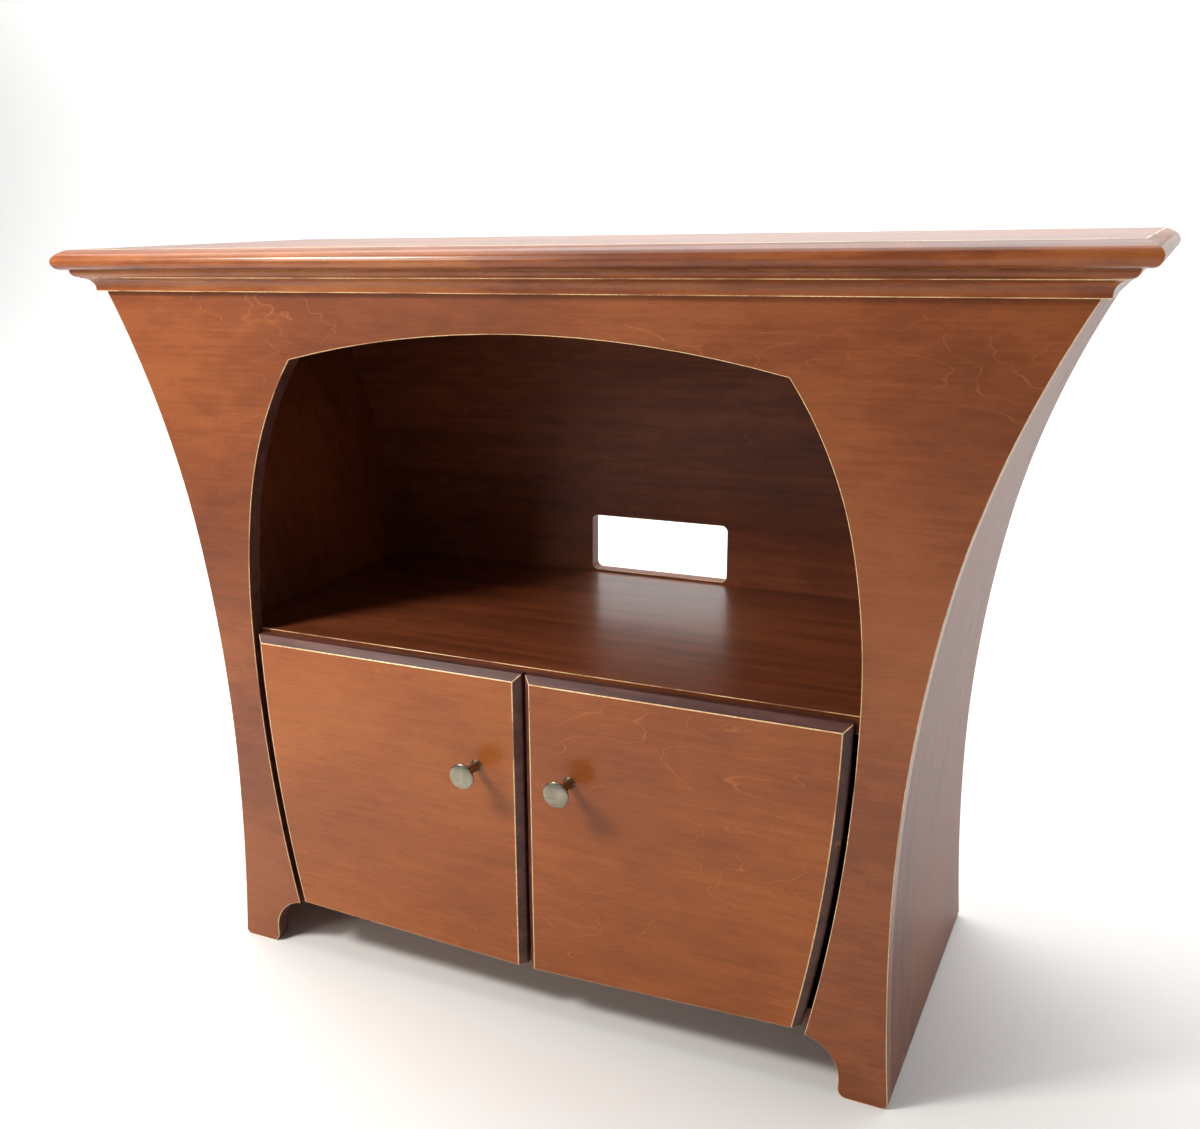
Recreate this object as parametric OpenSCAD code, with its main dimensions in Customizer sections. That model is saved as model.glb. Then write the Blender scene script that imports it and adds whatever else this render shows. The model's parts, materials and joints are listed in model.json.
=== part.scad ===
// Flared media console: an open bay with an arched front above a two-door cupboard.
// Millimetres, +Z up, front towards -Y, origin on the floor under the middle of the cabinet.

/* [Case] */
// Height of the case from the floor to the underside of the top board
case_h = 845; // [835:1:860]
// Depth of the case from the front panel's face to the back
case_d = 435; // [380:1:520]
// Width of the case at its waist
waist_w = 810; // [790:1:860]
// Height of the waist, where the sides stand vertical
waist_z = 222; // [200:1:240]
// Thickness of the panels, shelves and doors
board_t = 19; // [18:0.5:20]
// Thickness of the bent plywood sides
skin_t = 6; // [5:0.5:7]

/* [Side curve] */
// Radius of the sides below the waist
foot_flare_r = 2500; // [2200:10:3000]
// Radius of the sides just above the waist
lower_flare_r = 1650; // [1550:10:1800]
// Height where the sides tighten to the upper radius
upper_flare_z = 527; // [500:1:560]
// Radius of the sides under the cornice
upper_flare_r = 990; // [950:10:1100]

/* [Front opening] */
// Greatest width of the opening
bay_w = 727; // [700:1:740]
// Height of the opening's greatest width
bay_z = 437; // [430:1:450]
// Radius of the opening's sides below its greatest width
bay_lower_r = 1800; // [1700:10:2000]
// Radius of the opening's sides above its greatest width
bay_upper_r = 792; // [760:2:830]
// Height where the opening's sides tighten
bay_turn_z = 587; // [575:1:600]
// Radius of the opening's sides under the arch
bay_top_r = 422; // [410:2:440]
// Height of the crown of the arch
arch_top = 780; // [770:1:790]
// Radius of the arch
arch_r = 1220; // [1150:10:1300]

/* [Feet] */
// Height of the cut between the feet
foot_h = 64.5; // [60:0.5:68]
// Distance from the centre line to the inner edge of a foot
foot_x = 362; // [358:0.5:368]
// Radius of the cove at the top of each foot
foot_cove_r = 44; // [36:1:48]
// Rounding of each foot's inner toe
toe_r = 10; // [6:0.5:12]
// Rounding of each foot's outer corner
heel_r = 8; // [6.5:0.5:10]

/* [Top board] */
// Thickness of the top board
top_t = 22.5; // [21:0.5:26]
// Overhang of the top board's upper arris beyond the case
top_over = 28; // [26:0.5:32]
// Reach of the rounded nose beyond the arris
nose = 15.5; // [12:0.5:18]
// Height of the cornice moulding
cornice_h = 25; // [24.5:0.5:28]

/* [Shelves] */
// Height of the shelf's upper face
shelf_z = 421; // [420.5:0.5:424]
// Height of the bottom board's upper face
floor_z = 84; // [84:1:98]

/* [Cable slot] */
// Width of the cable slot in the back
slot_w = 192; // [150:1:200]
// Height of the cable slot
slot_h = 76; // [60:1:80]
// Height of the slot's lower edge above the shelf
slot_rise = 3; // [2:0.5:6]
// Sideways shift of the slot from the centre line
slot_shift = -5; // [-10:1:10]

/* [Doors] */
// How far the doors' faces stand in front of the front panel
door_proud = 5; // [4.5:0.1:5.2]
// Height of the doors' upper edge
door_top = 418.4; // [418:0.1:419]
// Height of each door's lower edge at the meeting side
door_low_in = 61; // [61:0.5:64]
// Height of each door's lower edge at the hinge side
door_low_out = 72; // [68:0.5:74]
// Gap between a door and the side of the opening
side_gap = 6; // [5.8:0.1:6.4]
// Gap between the two doors
mid_gap = 3.8; // [3:0.1:5]
// Width and depth of the bevel round each door's face
bevel = 8.2; // [8:0.1:8.6]

/* [Knobs] */
// Distance of each knob from the centre line
knob_x = 57.5; // [50:0.5:70]
// Height of the knobs
knob_z = 304; // [280:1:330]
// Diameter of a knob's head
knob_d = 30; // [24:0.5:32]

/* [Hidden] */

wood = "#8a4a2c";
dark_wood = "#6b3a22";
bare_wood = "#b98d5c";
steel = "#b9bcc0";
nickel = "#c9c0ae";
black = "#2b2b2d";

waist_x = waist_w / 2;
shoulder_z = case_h - cornice_h;   // the case stands vertical from here up, behind the cornice
fit = 0.1;                         // glue line between a board and the curved sides
big = 2000;
outline_steps = 48;                // points up each side of the case
profile_steps = 10;                // points round a moulding's quarter curve
front_reach = top_over - 2 + nose; // the top board is set back 2 mm at the front
front_y = (front_reach - case_d) / 2;
back_y = case_d - board_t;         // front face of the back panel

// Screws that hold the top board down, up through the two stretchers.
stretcher_w = 70;
top_screw_xs = [-420, 0, 420];
top_screw_ys = [board_t + stretcher_w / 2, back_y - stretcher_w / 2];
top_screw_r = 2;
top_bite = 15;                     // how far they reach into the top board

// Half width of the case at height z: three tangent arcs, then vertical behind the cornice.
function arc_step(r, dz) = r - sqrt(r * r - dz * dz);
turn_sin = (upper_flare_z - waist_z) / lower_flare_r;
turn_cos = sqrt(1 - turn_sin * turn_sin);
upper_cx = waist_x + arc_step(lower_flare_r, upper_flare_z - waist_z) + upper_flare_r * turn_cos;
upper_cz = upper_flare_z - upper_flare_r * turn_sin;
function case_x(z) =
    z < waist_z ? waist_x + arc_step(foot_flare_r, z - waist_z)
    : z < upper_flare_z ? waist_x + arc_step(lower_flare_r, z - waist_z)
    : upper_cx - sqrt(pow(upper_flare_r, 2) - pow(min(z, shoulder_z) - upper_cz, 2));

// Half width of the front opening at height z: three tangent arcs.
bay_x = bay_w / 2;
bay_sin = (bay_turn_z - bay_z) / bay_upper_r;
bay_cos = sqrt(1 - bay_sin * bay_sin);
bay_top_cx = bay_x - arc_step(bay_upper_r, bay_turn_z - bay_z) - bay_top_r * bay_cos;
bay_top_cz = bay_turn_z - bay_top_r * bay_sin;
function bay_half(z) =
    z < bay_z ? bay_x - arc_step(bay_lower_r, z - bay_z)
    : z < bay_turn_z ? bay_x - arc_step(bay_upper_r, z - bay_z)
    : bay_top_cx + sqrt(pow(bay_top_r, 2) - pow(z - bay_top_cz, 2));

// Hinge axis of each door, and the heights of its two hinges.
hinge_x = 346.5;
hinge_y = 3.5;
hinge_zs = [290, 385];
plate_t = 3;
plate_gap = 0.2;      // between the two plates of a hinge
pin_r = 2;
pin_clear = 0.05;
nose_r = 3.5;         // plate radius round the pin
tongue_w = 7.5;       // width of the bracket's tongue
tongue_x = 338.5;     // inner edge of the tongue
flange_h = 30;        // height of the screwed flanges
leaf_in = 300;        // inner end of the door leaf
post_x = 372;         // inner face of the hinge posts
post_w = 26;
post_d = 38;

// Moves a shape drawn with the front panel's face on y = 0 into the cabinet's frame.
module place() { translate([0, front_y, 0]) children(); }

// Stands a flat outline, drawn in x and z, upright from y0 to y1.
module upright(y0, y1) {
    translate([0, y1, 0]) rotate([90, 0, 0]) linear_extrude(height = y1 - y0) children();
}

module mirrored(side) {
    if (side < 0) mirror([1, 0, 0]) children();
    else children();
}

function heights(z0, z1, n) = [for (i = [0:n]) z0 + (z1 - z0) * i / n];

// Solid outline of the case, drawn inset from the outer curve by the given amount.
module case_outline(inset = 0) {
    zs = concat(heights(0, shoulder_z, outline_steps), [case_h]);
    right = [for (z = zs) [case_x(z) - inset, z]];
    left = [for (i = [len(zs) - 1:-1:0]) [inset - case_x(zs[i]), zs[i]]];
    polygon(concat(right, left));
}

// The sharp lower corners of the case, which are rounded off as heels.
module heel_waste() {
    for (side = [-1, 1]) mirrored(side) difference() {
        translate([case_x(0) - heel_r, -1]) square([heel_r + 5, heel_r + 1]);
        translate([case_x(0) - heel_r, heel_r]) circle(r = heel_r, $fn = 96);
    }
}

// The cut between the feet: a flat top with a cove and a rounded toe at each end.
module foot_cut() {
    cove_x = foot_x - foot_cove_r;
    cove_z = foot_h - foot_cove_r;
    translate([-cove_x, -1]) square([2 * cove_x, foot_h + 1]);
    for (side = [-1, 1]) mirrored(side) {
        translate([cove_x, cove_z]) circle(r = foot_cove_r, $fn = 180);
        translate([0, -1]) square([foot_x, cove_z + 1]);
        difference() {
            translate([foot_x - 1, -1]) square([toe_r + 1, toe_r + 1]);
            translate([foot_x + toe_r, toe_r]) circle(r = toe_r, $fn = 96);
        }
    }
}

// The arched opening in the front panel.
module bay_cut() {
    zs = heights(foot_h - 4, arch_top, 44);
    right = [for (z = zs) [bay_half(z), z]];
    left = [for (i = [len(zs) - 1:-1:0]) [-bay_half(zs[i]), zs[i]]];
    intersection() {
        polygon(concat(right, left));
        translate([0, arch_top - arch_r]) circle(r = arch_r, $fn = 720);
    }
}

// Edge of the top board, outwards from the arris: a rounded nose, fuller above than below.
crease_a = 55;        // angle on the upper oval where it meets the flat top
nose_cz = 9.5;        // height of the nose's furthest point
nose_rx = nose / (1 - cos(crease_a));
nose_rz = (top_t - nose_cz) / sin(crease_a);
under_rx = 9;         // reach of the lower oval
upper_end_a = 8;      // the upper oval stops short of the lower one's first point

// Points along an oval arc about (cx, cz), from angle a0 to angle a1.
function oval(cx, cz, rx, rz, a0, a1) = [
    for (i = [0:profile_steps]) let (a = a0 + (a1 - a0) * i / profile_steps)
        [cx + rx * cos(a), cz + rz * sin(a)]];
function top_edge() = concat(
    oval(nose - nose_rx, nose_cz, nose_rx, nose_rz, crease_a, upper_end_a),
    oval(nose - under_rx, nose_cz, under_rx, nose_cz, 0, -90));

module top_board() {
    half = case_x(case_h) + top_over;
    edge = top_edge();
    n = len(edge);
    right = [for (p = edge) [half + p[0], p[1]]];
    left = [for (i = [n - 1:-1:0]) [-half - edge[i][0], edge[i][1]]];
    front = concat([for (p = edge) [2 - top_over - p[0], p[1]]], [[case_d, 0], [case_d, top_t]]);
    color(wood) place() difference() {
        translate([0, 0, case_h]) intersection() {
            translate([0, case_d, 0]) rotate([90, 0, 0])
                linear_extrude(height = case_d + top_over + nose) polygon(concat(right, left));
            translate([-big / 2, 0, 0]) rotate([90, 0, 90]) linear_extrude(height = big) polygon(front);
        }
        for (y = top_screw_ys) for (x = top_screw_xs)
            translate([x, y, case_h - 1]) cylinder(r = top_screw_r, h = top_bite + 1, $fn = 32);
    }
}

// Cornice profile, outwards from the case: base fillet, cove, small step and quarter round.
base_w = 8;
base_h = 3;
cove_r = 12.5;
ovolo_r = 7.5;
function cornice_edge() = concat(
    [[0, 0], [base_w, 0], [base_w, base_h]],
    oval(base_w + cove_r, base_h, cove_r, cove_r, 180, 90),
    oval(base_w + cove_r, base_h + cove_r + 1 + ovolo_r, ovolo_r, ovolo_r, -90, 0),
    [[base_w + cove_r + ovolo_r, cornice_h], [0, cornice_h]]);
cornice_w = base_w + cove_r + ovolo_r;

module cornice_front() {
    half = case_x(case_h);
    color(wood) place() translate([0, 0, shoulder_z]) intersection() {
        translate([-half - cornice_w, 0, 0]) rotate([90, 0, 90])
            linear_extrude(height = 2 * (half + cornice_w)) polygon([for (p = cornice_edge()) [-p[0], p[1]]]);
        linear_extrude(height = cornice_h)
            polygon([[-half, 0], [half, 0], [half + cornice_w, -cornice_w], [-half - cornice_w, -cornice_w]]);
    }
}

module cornice_side(side) {
    half = case_x(case_h);
    color(wood) place() mirrored(side) translate([0, 0, shoulder_z]) intersection() {
        translate([half, case_d, 0]) rotate([90, 0, 0])
            linear_extrude(height = case_d + cornice_w) polygon(cornice_edge());
        linear_extrude(height = cornice_h)
            polygon([[half, 0], [half + cornice_w, -cornice_w], [half + cornice_w, case_d], [half, case_d]]);
    }
}
module cornice_left() { cornice_side(-1); }
module cornice_right() { cornice_side(1); }

module front_panel() {
    color(wood) place() upright(0, board_t) difference() {
        case_outline();
        bay_cut();
        foot_cut();
        heel_waste();
    }
}

// Bent plywood side, following the case outline behind the front panel.
module side_skin(side) {
    zs = concat(heights(0, shoulder_z, outline_steps), [case_h]);
    outer = [for (z = zs) [case_x(z), z]];
    inner = [for (i = [len(zs) - 1:-1:0]) [case_x(zs[i]) - skin_t, zs[i]]];
    color(wood) place() mirrored(side) upright(board_t, case_d) difference() {
        polygon(concat(outer, inner));
        heel_waste();
    }
}
module side_left() { side_skin(-1); }
module side_right() { side_skin(1); }

module cable_slot() {
    slot_r = 8;
    x0 = slot_shift - slot_w / 2;
    z0 = shelf_z + slot_rise;
    translate([x0 + slot_r, z0]) square([slot_w - 2 * slot_r, slot_h]);
    translate([x0, z0 + slot_r]) square([slot_w, slot_h - 2 * slot_r]);
    for (i = [0, 1]) for (j = [0, 1])
        translate([x0 + slot_r + i * (slot_w - 2 * slot_r), z0 + slot_r + j * (slot_h - 2 * slot_r)])
            circle(r = slot_r, $fn = 64);
}

module back_panel() {
    color(dark_wood) place() upright(back_y, case_d) difference() {
        case_outline(skin_t + fit);
        cable_slot();
        foot_cut();
    }
}

// A board that spans the sides between the front and back panels.
module span_board(top_z, y0, y1) {
    half = min(case_x(top_z), case_x(top_z - board_t)) - skin_t - fit;
    translate([-half, y0, top_z - board_t]) cube([2 * half, y1 - y0, board_t]);
}
module shelf() { color(dark_wood) place() span_board(shelf_z, board_t, back_y); }
module bottom_board() { color(dark_wood) place() span_board(floor_z, board_t, back_y); }

module stretcher(y0) {
    color(bare_wood) place() difference() {
        span_board(case_h, y0, y0 + stretcher_w);
        for (x = top_screw_xs) translate([x, y0 + stretcher_w / 2, case_h - board_t - 1])
            cylinder(r = top_screw_r + pin_clear, h = board_t + 2, $fn = 32);
    }
}
module stretcher_front() { stretcher(board_t); }
module stretcher_back() { stretcher(back_y - stretcher_w); }

// Pan-head screw: head below z = 0 and shank up the Z axis.
module screw(r, len, head_r, head_h) {
    cylinder(r = r, h = len, $fn = 32);
    translate([0, 0, -head_h]) cylinder(r = head_r, h = head_h, $fn = 32);
}

module top_screws() {
    color(steel) place() for (y = top_screw_ys) for (x = top_screw_xs)
        translate([x, y, case_h - board_t]) screw(top_screw_r, board_t + top_bite, 4, 2.5);
}

cleat = 19;
module cleat_strip(side, top_z, y0) {
    outer = min(case_x(top_z), case_x(top_z - cleat)) - skin_t - fit;
    color(bare_wood) place() mirrored(side)
        translate([outer - cleat, y0, top_z - cleat]) cube([cleat, back_y - y0, cleat]);
}
module shelf_cleat_left() { cleat_strip(-1, shelf_z - board_t, board_t + post_d); }
module shelf_cleat_right() { cleat_strip(1, shelf_z - board_t, board_t + post_d); }
module base_cleat_left() { cleat_strip(-1, floor_z - board_t, board_t); }
module base_cleat_right() { cleat_strip(1, floor_z - board_t, board_t); }

// Heights of the two screws in a hinge flange, above and below its plate.
flange_screws = [-9, 9];
wood_screw_r = 1.6;
flange_y = board_t + 4;
flange_d = 20;

module hinge_post(side) {
    color(bare_wood) place() mirrored(side) difference() {
        translate([post_x, board_t, floor_z]) cube([post_w, post_d, shelf_z - board_t - floor_z]);
        for (z = hinge_zs) for (dz = flange_screws)
            translate([post_x - 1, flange_y + flange_d / 2, z + dz]) rotate([0, 90, 0])
                cylinder(r = wood_screw_r, h = 17, $fn = 32);
    }
}
module hinge_post_left() { hinge_post(-1); }
module hinge_post_right() { hinge_post(1); }

// Fixed half of a hinge: a flat tongue round the pin, and a flange screwed to the post.
module hinge_bracket(side, z) {
    color(steel) place() mirrored(side) difference() {
        union() {
            translate([0, 0, z - plate_t]) linear_extrude(height = plate_t) {
                translate([hinge_x, hinge_y]) circle(r = nose_r, $fn = 48);
                translate([tongue_x, hinge_y + 1.5]) square([tongue_w, flange_y + flange_d - hinge_y - 1.5]);
                translate([tongue_x, flange_y]) square([post_x - tongue_x, flange_d]);
            }
            translate([post_x - plate_t, flange_y, z - flange_h / 2]) cube([plate_t, flange_d, flange_h]);
        }
        translate([hinge_x, hinge_y, z - plate_t - 1])
            cylinder(r = pin_r + pin_clear, h = plate_t + 2, $fn = 48);
        for (dz = flange_screws)
            translate([post_x - plate_t - 1, flange_y + flange_d / 2, z + dz]) rotate([0, 90, 0])
                cylinder(r = wood_screw_r + pin_clear, h = plate_t + 2, $fn = 32);
    }
}
module hinge_bracket_left_lower() { hinge_bracket(-1, hinge_zs[0]); }
module hinge_bracket_left_upper() { hinge_bracket(-1, hinge_zs[1]); }
module hinge_bracket_right_lower() { hinge_bracket(1, hinge_zs[0]); }
module hinge_bracket_right_upper() { hinge_bracket(1, hinge_zs[1]); }

module bracket_screws() {
    color(steel) place() for (side = [-1, 1]) mirrored(side) for (z = hinge_zs) for (dz = flange_screws)
        translate([post_x - plate_t, flange_y + flange_d / 2, z + dz]) rotate([0, 90, 0])
            screw(wood_screw_r, 16, 3.2, 1.5);
}

// Moving half of a hinge: a tongue above the bracket's, and a flange let into the door's back.
door_back = board_t - door_proud;
leaf_flange_t = 2;
leaf_flange_w = 32;
leaf_screw_x = leaf_in + leaf_flange_w / 2;
module leaf_shape(z, grow, past = 0) {
    translate([0, 0, z + plate_gap - grow]) linear_extrude(height = plate_t + 2 * grow) {
        translate([hinge_x, hinge_y]) circle(r = nose_r + grow, $fn = 48);
        translate([leaf_in - grow, -grow]) square([hinge_x - leaf_in + grow, door_back + grow + past]);
    }
    translate([leaf_in - grow, door_back - leaf_flange_t - grow, z - flange_h / 2 - grow])
        cube([leaf_flange_w + 2 * grow, leaf_flange_t + grow + past, flange_h + 2 * grow]);
}
module hinge_leaf(side, z) {
    color(steel) place() mirrored(side) difference() {
        leaf_shape(z, 0);
        translate([hinge_x, hinge_y, z - 1]) cylinder(r = pin_r, h = plate_t + 2, $fn = 48);
        for (dz = flange_screws)
            translate([leaf_screw_x, door_back - leaf_flange_t - 1, z + dz]) rotate([-90, 0, 0])
                cylinder(r = wood_screw_r + pin_clear, h = leaf_flange_t + 2, $fn = 32);
    }
}
module hinge_leaf_left_lower() { hinge_leaf(-1, hinge_zs[0]); }
module hinge_leaf_left_upper() { hinge_leaf(-1, hinge_zs[1]); }
module hinge_leaf_right_lower() { hinge_leaf(1, hinge_zs[0]); }
module hinge_leaf_right_upper() { hinge_leaf(1, hinge_zs[1]); }

module hinge_pin(side, z) {
    color(steel) place() mirrored(side) translate([hinge_x, hinge_y, z - plate_t - 0.5])
        cylinder(r = pin_r, h = 2 * plate_t + plate_gap + 0.5, $fn = 48);
}
module hinge_pin_left_lower() { hinge_pin(-1, hinge_zs[0]); }
module hinge_pin_left_upper() { hinge_pin(-1, hinge_zs[1]); }
module hinge_pin_right_lower() { hinge_pin(1, hinge_zs[0]); }
module hinge_pin_right_upper() { hinge_pin(1, hinge_zs[1]); }

leaf_screw_len = 9;
module leaf_screws(side) {
    color(steel) place() mirrored(side) for (z = hinge_zs) for (dz = flange_screws)
        translate([leaf_screw_x, door_back, z + dz]) rotate([90, 0, 0])
            screw(wood_screw_r, leaf_screw_len, 3.2, 1.2);
}
module leaf_screws_left() { leaf_screws(-1); }
module leaf_screws_right() { leaf_screws(1); }

// Space cut in a door for one hinge, open at the door's back and outer edge.
module hinge_pocket(z) {
    leaf_shape(z, fit, 1);
    pocket_z = z - plate_t - 0.8;
    pocket_h = 2 * plate_t + 1.2;
    translate([hinge_x, hinge_y, pocket_z]) cylinder(r = nose_r + 0.2, h = pocket_h, $fn = 48);
    translate([tongue_x - 1, hinge_y + 0.4, pocket_z]) cube([40, board_t, pocket_h]);
    for (dz = flange_screws)
        translate([leaf_screw_x, door_back + 1, z + dz]) rotate([90, 0, 0])
            cylinder(r = wood_screw_r, h = leaf_screw_len + 1.5, $fn = 32);
}

back_ease = 3;
door_in = mid_gap / 2;
knob_hole_r = 2.3;
knob_head_r = 4.2;
knob_head_h = 2.6;
strike_z = 378;
strike_x = 40;
strike_screw_len = 8;

// Right-hand door, drawn with its face on y = -door_proud.
module door_blank() {
    edge_r = bay_lower_r - side_gap;
    edge_cx = bay_x - bay_lower_r;
    low_slope = (door_low_out - door_low_in) / (bay_half(door_low_out) - side_gap - door_in);
    reach = 400;
    intersection() {
        upright(0, board_t) polygon([
            [door_in, door_low_in], [reach, door_low_in + (reach - door_in) * low_slope],
            [reach, door_top], [door_in, door_top]]);
        translate([edge_cx, 0, bay_z]) rotate([-90, 0, 0]) rotate_extrude($fn = 1440) polygon([
            [0, 0], [edge_r - bevel, 0], [edge_r, bevel], [edge_r, board_t - back_ease],
            [edge_r - back_ease, board_t], [0, board_t]]);
    }
}

module door(side) {
    color(wood) place() mirrored(side) difference() {
        translate([0, -door_proud, 0]) difference() {
            door_blank();
            // bevel along the upper edge
            translate([-1, 0, door_top]) rotate([90, 0, 90]) linear_extrude(height = 420)
                polygon([[-1, 1], [bevel + 1, 1], [-1, -bevel - 1]]);
            // bevel along the meeting edge
            translate([door_in, 0, 0]) linear_extrude(height = 500)
                polygon([[-1, -1], [bevel + 1, -1], [-1, bevel + 1]]);
        }
        for (z = hinge_zs) hinge_pocket(z);
        translate([knob_x, -door_proud - 1, knob_z]) rotate([-90, 0, 0])
            cylinder(r = knob_hole_r, h = board_t + 2, $fn = 48);
        translate([knob_x, door_back - knob_head_h, knob_z]) rotate([-90, 0, 0])
            cylinder(r = knob_head_r, h = knob_head_h + 1, $fn = 48);
        translate([strike_x, door_back + 1, strike_z]) rotate([90, 0, 0])
            cylinder(r = wood_screw_r, h = strike_screw_len + 1.5, $fn = 32);
    }
}
module door_left() { door(-1); }
module door_right() { door(1); }

// Knob: flared foot, slim neck and a shallow domed head, turned about its own axis.
knob_reach = front_reach - door_proud;
neck_r = 5.2;
foot_r = 7;
head_t = 7;
knob_bore_r = 2;
knob_bore_d = 16;
module knob(side) {
    head_r = knob_d / 2;
    rim_t = 2.6;
    dome_r = 60;
    crown = dome_r - sqrt(dome_r * dome_r - pow(head_r - 1, 2));
    color(nickel) place() mirrored(side) translate([knob_x, -door_proud, knob_z]) rotate([90, 0, 0])
        rotate_extrude($fn = 96) polygon(concat(
            [[knob_bore_r, 0], [foot_r, 0], [foot_r, 1.5], [neck_r, 5]],
            [[neck_r, knob_reach - head_t - 3], [neck_r + 3, knob_reach - head_t]],
            [[head_r - 1.5, knob_reach - crown - rim_t], [head_r, knob_reach - crown - rim_t + 1]],
            [[head_r, knob_reach - crown - 1]],
            [for (i = [0:8]) let (x = (head_r - 1) * (1 - i / 8))
                [x, knob_reach - dome_r + sqrt(dome_r * dome_r - x * x)]],
            [[0, knob_bore_d], [knob_bore_r, knob_bore_d]]));
}
module knob_left() { knob(-1); }
module knob_right() { knob(1); }

module knob_screw(side) {
    color(steel) place() mirrored(side) translate([knob_x, door_back, knob_z]) rotate([90, 0, 0])
        translate([0, 0, knob_head_h]) screw(knob_bore_r - pin_clear, board_t + 10, 3.8, 2.4);
}
module knob_screw_left() { knob_screw(-1); }
module knob_screw_right() { knob_screw(1); }

// Magnetic catch under the shelf, with its strike plate on the door's back.
catch_w = 40;
catch_h = 14;
catch_y = 17;
catch_d = 18;
catch_z = shelf_z - board_t - catch_h;
module catch_body(side) {
    color(black) place() mirrored(side) difference() {
        translate([strike_x - catch_w / 2, catch_y, catch_z]) cube([catch_w, catch_d, catch_h]);
        translate([strike_x - 10, catch_y - 1, catch_z - 1]) cube([20, 5, 8]);
        for (dx = [-15, 15]) translate([strike_x + dx, catch_y + catch_d / 2, catch_z - 1])
            cylinder(r = wood_screw_r + pin_clear, h = catch_h + 2, $fn = 32);
    }
}
module catch_left() { catch_body(-1); }
module catch_right() { catch_body(1); }
module catch_screws() {
    color(steel) place() for (side = [-1, 1]) mirrored(side) for (dx = [-15, 15])
        translate([strike_x + dx, catch_y + catch_d / 2, catch_z]) screw(wood_screw_r, catch_h, 3.2, 1.5);
}

strike_t = 1.2;
module strike(side) {
    color(steel) place() mirrored(side) difference() {
        translate([strike_x - 15, door_back, strike_z - 6]) cube([30, strike_t, 20]);
        translate([strike_x, door_back - 1, strike_z]) rotate([-90, 0, 0])
            cylinder(r = wood_screw_r + pin_clear, h = strike_t + 2, $fn = 32);
    }
}
module strike_left() { strike(-1); }
module strike_right() { strike(1); }
module strike_screw(side) {
    color(steel) place() mirrored(side) translate([strike_x, door_back + strike_t, strike_z])
        rotate([90, 0, 0]) screw(wood_screw_r, strike_screw_len, 3, 1);
}
module strike_screw_left() { strike_screw(-1); }
module strike_screw_right() { strike_screw(1); }

top_board();
cornice_front();
cornice_left();
cornice_right();
front_panel();
side_left();
side_right();
back_panel();
shelf();
bottom_board();
stretcher_front();
stretcher_back();
shelf_cleat_left();
shelf_cleat_right();
base_cleat_left();
base_cleat_right();
hinge_post_left();
hinge_post_right();
top_screws();
door_left();
door_right();
knob_left();
knob_right();
knob_screw_left();
knob_screw_right();
hinge_bracket_left_upper();
hinge_bracket_left_lower();
hinge_bracket_right_upper();
hinge_bracket_right_lower();
hinge_leaf_left_upper();
hinge_leaf_left_lower();
hinge_leaf_right_upper();
hinge_leaf_right_lower();
hinge_pin_left_upper();
hinge_pin_left_lower();
hinge_pin_right_upper();
hinge_pin_right_lower();
bracket_screws();
leaf_screws_left();
leaf_screws_right();
catch_left();
catch_right();
catch_screws();
strike_left();
strike_right();
strike_screw_left();
strike_screw_right();
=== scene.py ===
"""Looks for the flared media cabinet: stained plywood with edges rubbed through, satin metal, studio light.

Every size comes from the CAD frame. Metres, +Z up, front towards -Y.
"""

import json
import math

import bmesh
import bpy
from mathutils import Matrix, Vector


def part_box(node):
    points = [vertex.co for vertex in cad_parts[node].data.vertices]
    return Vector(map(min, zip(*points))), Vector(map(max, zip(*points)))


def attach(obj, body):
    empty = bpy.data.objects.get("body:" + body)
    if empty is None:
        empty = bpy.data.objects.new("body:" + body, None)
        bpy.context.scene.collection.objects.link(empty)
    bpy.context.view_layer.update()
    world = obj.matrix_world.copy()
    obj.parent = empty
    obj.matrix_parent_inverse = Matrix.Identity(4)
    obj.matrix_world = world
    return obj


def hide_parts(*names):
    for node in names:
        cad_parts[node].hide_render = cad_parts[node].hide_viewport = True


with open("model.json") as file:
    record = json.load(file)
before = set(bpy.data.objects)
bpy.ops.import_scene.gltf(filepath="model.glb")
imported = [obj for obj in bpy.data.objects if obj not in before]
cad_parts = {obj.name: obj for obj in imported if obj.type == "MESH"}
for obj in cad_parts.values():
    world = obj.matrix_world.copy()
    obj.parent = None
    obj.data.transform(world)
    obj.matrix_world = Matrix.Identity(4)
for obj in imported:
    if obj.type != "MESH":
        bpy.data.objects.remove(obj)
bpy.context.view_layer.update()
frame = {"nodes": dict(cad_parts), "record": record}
nodes = frame["nodes"]
body_of = {n: b for b, members in frame["record"]["behaviour"]["bodies"].items() for n in members}
slot_of = {s["node"]: s["material_slot"] for s in frame["record"]["subparts"]}

FACE, WORN, EDGE, LONG = 0, 1, 2, 3     # material places on a carved piece
X, Y, Z = 0, 1, 2
MM = 0.001

MERGE = 0.05 * MM            # CAD corners nearer than this are joined before easing
LEVEL = 0.01 * MM            # an edge is level if its ends differ in height by less
PANEL_ARRIS = 0.8 * MM       # widths of the eased corners
SIDE_ARRIS = 0.8 * MM
TOP_ARRIS = 0.9 * MM
CORNICE_ARRIS = 0.9 * MM
DOOR_ARRIS = 0.9 * MM
BOARD_ARRIS = 0.8 * MM
BACK_ARRIS = 0.6 * MM
TOP_SHARP = 12.0             # degrees; the top's arris is a slight crease
DOOR_SHARP = 30.0
SMOOTH_TO = 50.0             # degrees; sharper edges stay sharp in the shading
BEVEL_END = 9.5 * MM         # corners further behind a door's face aren't eased
LINE_END = 6.5 * MM          # rubbed lines start in front of this depth on a door


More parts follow.
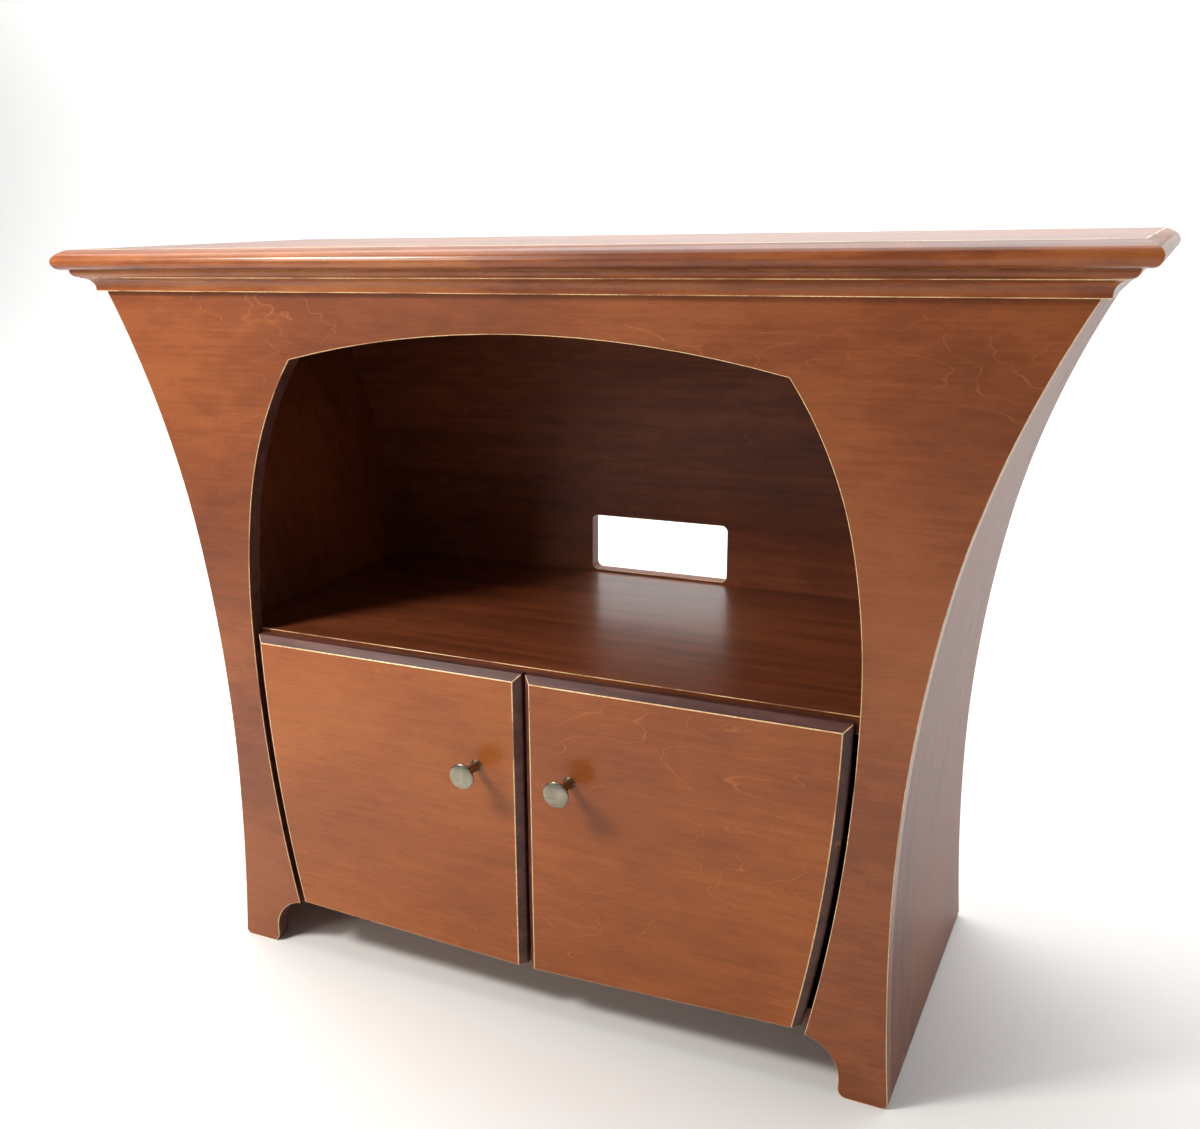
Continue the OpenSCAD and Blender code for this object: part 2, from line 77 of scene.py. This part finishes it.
# ---------------------------------------------------------------- materials
class Tree:
    """A few short words for building a node tree."""

    def __init__(self, name):
        self.mat = bpy.data.materials.new(name)
        self.mat.use_nodes = True
        self.nodes, self.links = self.mat.node_tree.nodes, self.mat.node_tree.links
        self.nodes.clear()
        out = self.add("ShaderNodeOutputMaterial")
        self.shader = self.add("ShaderNodeBsdfPrincipled")
        self.links.new(self.shader.outputs[0], out.inputs["Surface"])
        self.coords = self.add("ShaderNodeTexCoord").outputs["Object"]

    def add(self, kind, **props):
        node = self.nodes.new(kind)
        for key, value in props.items():
            setattr(node, key, value)
        return node

    def plug(self, socket, value):
        if isinstance(value, bpy.types.NodeSocket):
            self.links.new(value, socket)
        else:
            socket.default_value = value

    def stretch(self, scale, shift=(0, 0, 0)):
        m = self.add("ShaderNodeMapping")
        self.plug(m.inputs["Vector"], self.coords)
        m.inputs["Scale"].default_value = scale
        m.inputs["Location"].default_value = shift
        return m.outputs[0]

    def noise(self, vector, scale=1.0, detail=2.0, rough=0.5, bend=0.0):
        n = self.add("ShaderNodeTexNoise")
        self.plug(n.inputs["Vector"], vector)
        n.inputs["Scale"].default_value = scale
        n.inputs["Detail"].default_value = detail
        n.inputs["Roughness"].default_value = rough
        n.inputs["Distortion"].default_value = bend
        return n.outputs["Fac"]

    def math(self, op, a, b=0.0, clamp=False):
        n = self.add("ShaderNodeMath", operation=op, use_clamp=clamp)
        self.plug(n.inputs[0], a)
        self.plug(n.inputs[1], b)
        return n.outputs[0]

    def span(self, value, lo, hi, out_lo=0.0, out_hi=1.0):
        n = self.add("ShaderNodeMapRange")
        self.plug(n.inputs["Value"], value)
        for key, v in (("From Min", lo), ("From Max", hi), ("To Min", out_lo), ("To Max", out_hi)):
            n.inputs[key].default_value = v
        return n.outputs[0]

    def mix(self, fac, a, b):
        n = self.add("ShaderNodeMix", data_type="RGBA")
        self.plug(n.inputs[0], fac)
        self.plug(n.inputs[6], a if isinstance(a, bpy.types.NodeSocket) else (*a, 1))
        self.plug(n.inputs[7], b if isinstance(b, bpy.types.NodeSocket) else (*b, 1))
        return n.outputs[2]

    def bump(self, height, distance, strength=0.5):
        n = self.add("ShaderNodeBump")
        self.plug(n.inputs["Height"], height)
        n.inputs["Distance"].default_value = distance
        n.inputs["Strength"].default_value = strength
        self.plug(self.shader.inputs["Normal"], n.outputs[0])

    def rim(self, radius):
        """About 1 on an outside corner and 0 on a flat face."""
        b = self.add("ShaderNodeBevel", samples=4)
        b.inputs["Radius"].default_value = radius
        g = self.add("ShaderNodeNewGeometry")
        d = self.add("ShaderNodeVectorMath", operation="DOT_PRODUCT")
        self.plug(d.inputs[0], b.outputs[0])
        self.plug(d.inputs[1], g.outputs["Normal"])
        return self.math("SUBTRACT", 1.0, d.outputs["Value"], clamp=True)

    def set(self, **values):
        for key, value in values.items():
            self.plug(self.shader.inputs[key.replace("_", " ")], value)


def grain_scale(axis, along, across):
    return tuple(along if i == axis else across for i in range(3))


# Stain colours, from the darkest streaks to the palest.
DOOR_STAIN = ((0.212, 0.050, 0.008), (0.294, 0.074, 0.011), (0.362, 0.104, 0.018))
CASE_STAIN = ((0.150, 0.037, 0.011), (0.230, 0.060, 0.016), (0.305, 0.091, 0.025))
NOSE_STAIN = ((0.120, 0.026, 0.007), (0.250, 0.062, 0.013), (0.390, 0.130, 0.034))
INSIDE_STAIN = ((0.105, 0.026, 0.010), (0.185, 0.047, 0.017), (0.260, 0.074, 0.026))
# Painted shade: a darker colour for the edge faces in the gaps and round the opening, standing in for the
# shade that falls there.
PAINTED_SHADE_EDGE = ((0.050, 0.017, 0.014), (0.098, 0.033, 0.026), (0.155, 0.058, 0.044))
BARE = ((0.360, 0.210, 0.095), (0.520, 0.340, 0.175), (0.640, 0.450, 0.250))
RUBBED = (0.700, 0.400, 0.140)
RUBBED_PALE = (0.900, 0.680, 0.380)


def wood(name, stain, axis, shift, figure=1.0, streaks=0.12, coat=0.32, gloss=0.17, rub=1.0, spec=0.24):
    """Stained wood: soft blotches, mottling, fibre streaks along the axis, pores and thin figure lines."""
    t = Tree(name)
    blotch = t.noise(t.stretch(grain_scale(axis, 2.6, 4.5), shift), detail=3.0, rough=0.55)
    fibre = t.noise(t.stretch(grain_scale(axis, 9.0, 260.0), shift), detail=3.0, rough=0.6)
    band = t.noise(t.stretch(grain_scale(axis, 3.0, 46.0), shift), detail=2.0, bend=0.4)
    mottle = t.noise(t.stretch(grain_scale(axis, 24.0, 70.0), shift), detail=4.0, rough=0.65)
    pores = t.noise(t.stretch(grain_scale(axis, 90.0, 1500.0), shift), detail=1.0)
    tone = t.math("ADD", t.math("MULTIPLY", blotch, 1.0 - streaks), t.math("MULTIPLY", band, streaks))
    tone = t.math("ADD", tone, t.math("MULTIPLY", t.math("SUBTRACT", fibre, 0.5), 0.26))
    tone = t.math("ADD", tone, t.math("MULTIPLY", t.math("SUBTRACT", mottle, 0.5), 0.34))
    dark, mid, pale = stain
    colour = t.mix(t.span(tone, 0.30, 0.52), dark, mid)
    colour = t.mix(t.span(tone, 0.48, 0.74), colour, pale)
    # figure: the height lines of a smooth field, drawn thin and only in places
    field = t.noise(t.stretch(grain_scale(axis, 3.4, 11.0), shift), detail=4.0, rough=0.42, bend=0.25)
    lines = t.math("ABSOLUTE", t.math("SUBTRACT", t.math("FRACT", t.math("MULTIPLY", field, 13.0)), 0.5))
    lines = t.span(lines, 0.470, 0.498)
    where = t.span(t.noise(t.stretch(grain_scale(axis, 3.5, 8.0), shift), detail=1.5), 0.52, 0.62)
    lines = t.math("MULTIPLY", t.math("MULTIPLY", lines, where), 0.28 * figure)
    colour = t.mix(lines, colour, tuple(min(1.0, c * 1.7 + 0.02) for c in pale))
    pits = t.span(pores, 0.60, 0.70)
    colour = t.mix(t.math("MULTIPLY", pits, 0.28), colour, tuple(c * 0.35 for c in dark))
    # stain rubbed away unevenly beside the outside corners
    wear = t.math("MULTIPLY", t.span(t.rim(0.0022), 0.03, 0.20), t.span(
        t.noise(t.stretch((38.0, 38.0, 38.0), shift), detail=3.0), 0.46, 0.62))
    colour = t.mix(t.math("MULTIPLY", wear, 0.75 * rub), colour, RUBBED)
    sheen = t.math("ADD", gloss + 0.16, t.math("MULTIPLY", fibre, 0.12))
    t.set(Base_Color=colour, Roughness=sheen, Coat_Weight=coat,
          Coat_Roughness=t.span(blotch, 0.3, 0.7, gloss - 0.03, gloss + 0.05), Specular_IOR_Level=spec)
    t.bump(t.math("SUBTRACT", fibre, t.math("MULTIPLY", pits, 0.6)), 0.00012, 0.35)
    return t.mat


def worn(name, stain, shift, keep=0.35):
    """Arris where sanding has cut through the stain: cream and gold, with stain left in places."""
    t = Tree(name)
    long = t.noise(t.stretch((16.0, 16.0, 16.0), shift), detail=3.0)
    fine = t.noise(t.stretch((260.0, 260.0, 260.0), shift), detail=2.0)
    colour = t.mix(t.span(fine, 0.35, 0.65), RUBBED, RUBBED_PALE)
    left = t.span(t.math("ADD", t.math("MULTIPLY", long, 0.75), t.math("MULTIPLY", fine, 0.25)),
                  0.62 - 0.20 * keep, 0.72 - 0.20 * keep)
    colour = t.mix(t.math("MULTIPLY", left, 0.85), colour, stain[1])
    t.set(Base_Color=colour, Roughness=t.span(fine, 0.3, 0.7, 0.32, 0.48),
          Coat_Weight=0.4, Coat_Roughness=0.2)
    t.bump(fine, 0.00006, 0.3)
    return t.mat


def metal(name, dull, bright, shift, rough=0.30, brushed=None):
    t = Tree(name)
    cloud = t.noise(t.stretch((60.0, 60.0, 60.0), shift), detail=3.0)
    scale = brushed or (900.0, 900.0, 900.0)
    scratch = t.noise(t.stretch(scale, shift), detail=2.0, rough=0.6)
    rubbed = t.span(t.rim(0.0008), 0.04, 0.25)
    colour = t.mix(t.span(t.math("ADD", t.math("MULTIPLY", cloud, 0.6), t.math("MULTIPLY", scratch, 0.4)),
                          0.35, 0.65), dull, bright)
    colour = t.mix(t.math("MULTIPLY", rubbed, 0.6), colour, tuple(min(1.0, c * 1.25) for c in bright))
    t.set(Base_Color=colour, Metallic=1.0, Roughness=t.span(scratch, 0.3, 0.7, rough - 0.07, rough + 0.10))
    t.bump(scratch, 0.00002, 0.25)
    return t.mat


def plastic(name, dark, pale, shift):
    t = Tree(name)
    grainy = t.noise(t.stretch((1400.0, 1400.0, 1400.0), shift), detail=2.0)
    cloud = t.noise(t.stretch((45.0, 45.0, 45.0), shift), detail=2.0)
    colour = t.mix(t.span(cloud, 0.35, 0.65), dark, pale)
    colour = t.mix(t.math("MULTIPLY", t.span(t.rim(0.001), 0.04, 0.25), 0.5), colour,
                   tuple(c * 2.6 + 0.02 for c in pale))
    t.set(Base_Color=colour, Roughness=t.span(grainy, 0.3, 0.7, 0.38, 0.52))
    t.bump(grainy, 0.00005, 0.3)
    return t.mat


dark_steel = metal("dark_steel", (0.020, 0.018, 0.017), (0.055, 0.050, 0.046), (1, 9, 3), 0.42)
nickel = metal("nickel", (0.17, 0.150, 0.112), (0.33, 0.300, 0.232), (3, 1, 7), 0.27, (90.0, 90.0, 1600.0))
zinc = metal("zinc", (0.40, 0.41, 0.43), (0.62, 0.63, 0.66), (5, 8, 2), 0.33)
black = plastic("black", (0.012, 0.012, 0.014), (0.030, 0.030, 0.033), (2, 6, 4))


# ---------------------------------------------------------------- pieces
def carved(node, mats, arris=0.0, pick=None, sort=None, sharp=34.0, rubbed=None):
    """A copy of a CAD node with its outside corners eased, which stands for the node.

    pick chooses the corners, sort gives each face its material, and rubbed says which of the
    eased corners are worn through; the others take the edge material.
    """
    bm = bmesh.new()
    bm.from_mesh(nodes[node].data)
    bmesh.ops.remove_doubles(bm, verts=bm.verts, dist=MERGE)
    bmesh.ops.dissolve_limit(bm, angle_limit=math.radians(0.2), verts=bm.verts, edges=bm.edges)
    bm.normal_update()
    for f in bm.faces:
        f.smooth = True
        f.material_index = sort(f) if sort else FACE
    if arris:
        chosen = [e for e in bm.edges if len(e.link_faces) == 2
                  and e.calc_face_angle() > math.radians(sharp) and e.is_convex and (pick is None or pick(e))]
        bmesh.ops.bevel(bm, geom=chosen, offset=arris, offset_type="OFFSET", segments=2, profile=0.5,
                        affect="EDGES", clamp_overlap=True, material=WORN)
        for f in bm.faces:
            if f.material_index == WORN and rubbed and not rubbed(f):
                f.material_index = EDGE
    for e in bm.edges:
        e.smooth = not (len(e.link_faces) == 2 and e.calc_face_angle() > math.radians(SMOOTH_TO))
    mesh = bpy.data.meshes.new(node + "_look")
    bm.to_mesh(mesh)
    bm.free()
    o = bpy.data.objects.new(node + "_look", mesh)
    bpy.context.scene.collection.objects.link(o)
    for m in mats:
        mesh.materials.append(m)
    w = o.modifiers.new("even", "WEIGHTED_NORMAL")
    w.keep_sharp = True
    w.weight = 90
    bpy.context.view_layer.update()
    final = bpy.data.meshes.new_from_object(o.evaluated_get(bpy.context.evaluated_depsgraph_get()))
    o.modifiers.clear()
    o.data = final
    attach(o, body_of[node])
    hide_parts(node)
    return o


def mid(node):
    lo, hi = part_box(node)
    return (lo + hi) / 2


def centre(e):
    return (e.verts[0].co + e.verts[1].co) / 2


# Front panel: the rims of the arch, feet and outline are eased; its joint with the bent sides isn't.
panel_lo, panel_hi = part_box("front_panel")
panel_wear = worn("panel_worn", CASE_STAIN, (1, 4, 2), 0.45)
# The panel's inward-facing edge faces round the opening and feet take this darker colour as painted shade.
case_edge_painted_shade = wood("case_edge_painted_shade", PAINTED_SHADE_EDGE, X, (4, 2, 9), 0.0, 0.6, 0.5, 0.20, 0.5)


def panel_sort(f):
    c, n = f.calc_center_median(), f.normal
    inward = n.x * c.x < 0 or abs(n.x) < 0.35
    return EDGE if abs(n.y) < 0.5 and inward else FACE


def panel_pick(e):
    c = centre(e)
    return c.y < panel_lo.y + 0.001 and c.z < panel_hi.z - 0.002


carved("front_panel", [wood("panel_face", CASE_STAIN, X, (0.3, 2, 5)), panel_wear, case_edge_painted_shade],
       PANEL_ARRIS, panel_pick, panel_sort)

# Bent sides, with their back and lower edges eased.
for side in ("left", "right"):
    lo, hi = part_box("side_" + side)
    side_shift = (6, 1, 3 if side == "left" else 8)
    carved("side_" + side,
           [wood("side_face_" + side, CASE_STAIN, Z, side_shift, 0.6, 0.3, 0.20, 0.28), panel_wear],
           SIDE_ARRIS,
           lambda e, lo=lo, hi=hi: centre(e).y > lo.y + 2 * MM and centre(e).z < hi.z - 2 * MM)

# Top board: veneered upper face, and a solid moulded nose whose grain follows each side.
top_lo, top_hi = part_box("top_board")
nose_front = wood("nose_front", NOSE_STAIN, X, (2, 7, 1), 0.0, 0.85, 0.5, 0.15, 0.5)
nose_end = wood("nose_end", NOSE_STAIN, Y, (8, 3, 1), 0.0, 0.85, 0.35, 0.18, 0.5)
top_worn = worn("top_worn", NOSE_STAIN, (9, 2, 6), 0.55)


def top_sort(f):
    n = f.normal
    if abs(n.z) > 0.999:
        return FACE
    return LONG if abs(n.x) > abs(n.y) else EDGE


def is_level(e):
    return abs(e.verts[0].co.z - e.verts[1].co.z) < LEVEL


def top_pick(e):
    """The arris round the flat upper face, but not along the back."""
    c = centre(e)
    rim = c.y < top_lo.y + 30 * MM or abs(c.x) > top_hi.x - 30 * MM
    return is_level(e) and rim and c.z > top_hi.z - LEVEL and c.y < top_hi.y - MM


carved("top_board", [wood("top_face", CASE_STAIN, X, (5, 5, 2), 0.8), top_worn, nose_front, nose_end],
       TOP_ARRIS, top_pick, top_sort, TOP_SHARP)


# Cornice: cream lines along its steps, no line down the mitres.
def off_mitre(e):
    diagonal = any(abs(f.normal.z) < 0.2 and 0.5 < abs(f.normal.x) < 0.85 for f in e.link_faces)
    return not diagonal and is_level(e)


for part, axis in (("front", X), ("left", Y), ("right", Y)):
    cornice_wood = wood("cornice_wood_" + part, NOSE_STAIN, axis, (1, 1 + axis, 4),
                        0.0, 0.75, 0.35, 0.18, 0.4)
    carved("cornice_" + part, [cornice_wood, top_worn], CORNICE_ARRIS, off_mitre)

# Doors: rubbed lines round the face and down the mitres of the bevel; the bevel and side faces take a darker
# colour as painted shade.
for side in ("left", "right"):
    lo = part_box("door_" + side)[0]
    hub = mid("knob_" + side)
    pins = [mid("hinge_pin_%s_%s" % (side, place)).z for place in ("upper", "lower")]
    shift = (2, 5, 1) if side == "left" else (7, 3, 4)

    def door_pick(e, lo=lo, hub=hub, pins=pins):
        c = centre(e)
        near_knob = math.hypot(c.x - hub.x, c.z - hub.z) < 0.008
        near_pin = c.y > lo.y + 0.004 and min(abs(c.z - z) for z in pins) < 0.014 and abs(c.x) > 0.3
        return c.y < lo.y + BEVEL_END and not near_knob and not near_pin

    carved("door_" + side,
           [wood("door_face_" + side, DOOR_STAIN, X, shift),
            worn("door_worn_" + side, DOOR_STAIN, shift, 0.35),
            wood("door_edge_painted_shade_" + side, PAINTED_SHADE_EDGE, X, shift, 0.0, 0.6, 0.4, 0.22, 0.3)],
           DOOR_ARRIS, door_pick, lambda f: FACE if abs(f.normal.y) > 0.95 else EDGE, DOOR_SHARP,
           lambda f, lo=lo: min(v.co.y for v in f.verts) < lo.y + LINE_END)

# Boards inside the case.
inside_worn = worn("inside_worn", INSIDE_STAIN, (3, 3, 8), 0.8)
for i, node in enumerate(("shelf", "bottom_board")):
    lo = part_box(node)[0]
    board_face = wood(node + "_face", INSIDE_STAIN, X, (1 + i, 8, 3), 0.7, 0.5, 0.45, 0.20, 0.4)
    carved(node, [board_face, inside_worn], BOARD_ARRIS, lambda e, lo=lo: centre(e).y < lo.y + MM)
back_face = wood("back_face", INSIDE_STAIN, X, (9, 1, 5), 1.0, 0.4, 0.15, 0.24, 0.3, 0.22)
carved("back_panel", [back_face, inside_worn], BACK_ARRIS,
       lambda e: abs(centre(e).x) < 0.12 and centre(e).z > 0.3)    # the rim of the cable slot
bare_wood = {axis: wood("bare_" + str(axis), BARE, axis, (4, 4, 1 + axis), 0.3, 0.6, 0.0, 0.30, 0.0)
             for axis in (X, Y, Z)}
bare_worn = worn("bare_worn", BARE, (6, 6, 2), 0.6)
for node, axis in (("shelf_cleat_left", Y), ("shelf_cleat_right", Y), ("base_cleat_left", Y),
                   ("base_cleat_right", Y)):
    carved(node, [bare_wood[axis], bare_worn], BOARD_ARRIS)
for node, axis in (("stretcher_front", X), ("stretcher_back", X),
                   ("hinge_post_left", Z), ("hinge_post_right", Z)):
    carved(node, [bare_wood[axis]])

# Hardware keeps the CAD shapes, in its own finishes.
for node, o in nodes.items():
    if slot_of[node] in ("steel", "black_plastic"):
        o.data.materials.clear()
        plate = node.startswith(("hinge_", "leaf_", "bracket_"))
        o.data.materials.append(black if slot_of[node] == "black_plastic" else dark_steel if plate else zinc)


# Knobs: turned foot, slim neck and a shallow dome with a softened rim.
def turned(name, base, profile, steps, mat):
    """A lathe piece about the -Y direction; the profile is (radius, distance in front of base)."""
    bm = bmesh.new()
    rings = []
    for r, d in profile:
        if r < 1e-6:
            rings.append([bm.verts.new((base.x, base.y - d, base.z))])
        else:
            turns = [2 * math.pi * k / steps for k in range(steps)]
            rings.append([bm.verts.new((base.x + r * math.cos(a), base.y - d, base.z + r * math.sin(a)))
                          for a in turns])
    for a, b in zip(rings, rings[1:]):
        for k in range(steps):
            j = (k + 1) % steps
            ring = [a[k % len(a)], a[j % len(a)], b[j % len(b)], b[k % len(b)]]
            bm.faces.new(list(dict.fromkeys(ring)))
    bmesh.ops.recalc_face_normals(bm, faces=bm.faces)
    for f in bm.faces:
        f.smooth = True
    mesh = bpy.data.meshes.new(name)
    bm.to_mesh(mesh)
    bm.free()
    mesh.materials.append(mat)
    o = bpy.data.objects.new(name, mesh)
    bpy.context.scene.collection.objects.link(o)
    return o


def bend(cx, cy, r, a0, a1, n=6):
    """Points of an arc, for rounding a profile's corners."""
    return [(cx + r * math.cos(math.radians(a0 + (a1 - a0) * i / n)),
             cy + r * math.sin(math.radians(a0 + (a1 - a0) * i / n))) for i in range(n + 1)]


for side in ("left", "right"):
    lo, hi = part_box("knob_" + side)
    head, reach = (hi.x - lo.x) / 2, hi.y - lo.y
    rim = 1.3 * MM
    dome = 60 * MM
    drop = dome - math.sqrt(dome ** 2 - (head - rim) ** 2)
    profile = [(2.0 * MM, 0), (6.7 * MM, 0)] + bend(6.7 * MM, 0.6 * MM, 0.3 * MM, -90, 60)
    profile += [(5.7 * MM, 3.0 * MM), (5.2 * MM, 5.0 * MM), (5.1 * MM, 9.0 * MM)]
    profile += [(5.1 * MM, reach - 12 * MM), (5.8 * MM, reach - 9.6 * MM), (7.9 * MM, reach - 7.4 * MM),
                (11.2 * MM, reach - drop - 3.3 * MM)]
    profile += bend(head - rim, reach - drop - rim, rim, -75, 80)
    profile += [(x, reach - dome + math.sqrt(dome ** 2 - x ** 2))
                for x in [(head - rim) * (1 - i / 12) for i in range(1, 13)]]
    c = mid("knob_" + side)
    knob = turned("knob_look_" + side, Vector((c.x, hi.y, c.z)), profile, 96, nickel)
    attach(knob, body_of["knob_" + side])
    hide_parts("knob_" + side)


# ---------------------------------------------------------------- studio
def backdrop():
    """Pale floor that sweeps up into a wall behind the cabinet."""
    floor_end, wall_top, sweep = 3.2, 4.5, 1.6
    line = [(-7.0, 0.0), (floor_end, 0.0)]
    line += [(floor_end + sweep * math.sin(a), sweep * (1 - math.cos(a)))
             for a in [math.pi / 2 * i / 24 for i in range(1, 25)]]
    line.append((floor_end + sweep, wall_top))
    bm = bmesh.new()
    pairs = [(bm.verts.new((-9, y, z)), bm.verts.new((9, y, z))) for y, z in line]
    for a, b in zip(pairs, pairs[1:]):
        bm.faces.new((a[0], a[1], b[1], b[0])).smooth = True
    mesh = bpy.data.meshes.new("backdrop")
    bm.to_mesh(mesh)
    bm.free()
    t = Tree("backdrop")
    soft = t.noise(t.stretch((0.5, 0.5, 0.5)), detail=1.0)
    t.set(Base_Color=t.mix(soft, (0.86, 0.86, 0.85), (0.90, 0.90, 0.89)),
          Roughness=0.85, Specular_IOR_Level=0.2)
    mesh.materials.append(t.mat)
    o = bpy.data.objects.new("backdrop", mesh)
    bpy.context.scene.collection.objects.link(o)


def softbox(name, towards, distance, size, power, target, colour=(1, 1, 1)):
    data = bpy.data.lights.new(name, "AREA")
    data.shape, data.size, data.size_y = "RECTANGLE", size[0], size[1]
    data.energy, data.color = power, colour
    o = bpy.data.objects.new(name, data)
    bpy.context.scene.collection.objects.link(o)
    d = Vector(towards).normalized()
    o.location = Vector(target) + d * distance
    o.rotation_mode = "QUATERNION"
    o.rotation_quaternion = d.to_track_quat("Z", "Y")


backdrop()
aim = (0.0, -0.2, 0.45)
softbox("key", (-0.95, -0.95, 1.05), 1.75, (0.36, 0.36), 28, aim, (1.0, 0.97, 0.92))
softbox("front_fill", (-0.62, -1.0, 0.30), 3.2, (0.7, 0.5), 16, (0.1, 0.2, 0.5), (1.0, 0.92, 0.80))
softbox("overhead", (-0.1, 0.25, 1.0), 3.4, (5.5, 3.4), 165, (-0.3, 0.0, 0.2))
softbox("wall_wash", (0.0, -1.0, 0.9), 3.6, (9.0, 0.8), 270, (-2.4, 4.6, 1.6))
world = bpy.data.worlds.new("studio")
world.use_nodes = True
world.node_tree.nodes["Background"].inputs["Color"].default_value = (0.97, 0.98, 1.0, 1)
world.node_tree.nodes["Background"].inputs["Strength"].default_value = 0.16
bpy.context.scene.world = world

# Camera: to the right of the cabinet's middle, looking down on it.
EYE = (0.6135, -1.3796, 0.8957)
YAW, PITCH, ROLL = math.radians(27.472), math.radians(16.763), math.radians(-1.283)
LENS_MM, SHIFT_X, SHIFT_Y = 39.19, 0.0674, 0.0361
ahead = Vector((-math.sin(YAW) * math.cos(PITCH), math.cos(YAW) * math.cos(PITCH), -math.sin(PITCH)))
level = Vector((math.cos(YAW), math.sin(YAW), 0))
upright = level.cross(ahead)
right = math.cos(ROLL) * level + math.sin(ROLL) * upright
up = -math.sin(ROLL) * level + math.cos(ROLL) * upright
data = bpy.data.cameras.new("camera")
data.lens, data.sensor_width, data.sensor_fit = LENS_MM, 36.0, "HORIZONTAL"
data.shift_x, data.shift_y = SHIFT_X, SHIFT_Y
camera = bpy.data.objects.new("camera", data)
bpy.context.scene.collection.objects.link(camera)
camera.matrix_world = Matrix.Translation(EYE) @ Matrix((right, up, -ahead)).transposed().to_4x4()
bpy.context.scene.camera = camera

view = bpy.context.scene.view_settings
view.view_transform, view.look, view.exposure, view.gamma = "Standard", "None", 0.0, 1.0
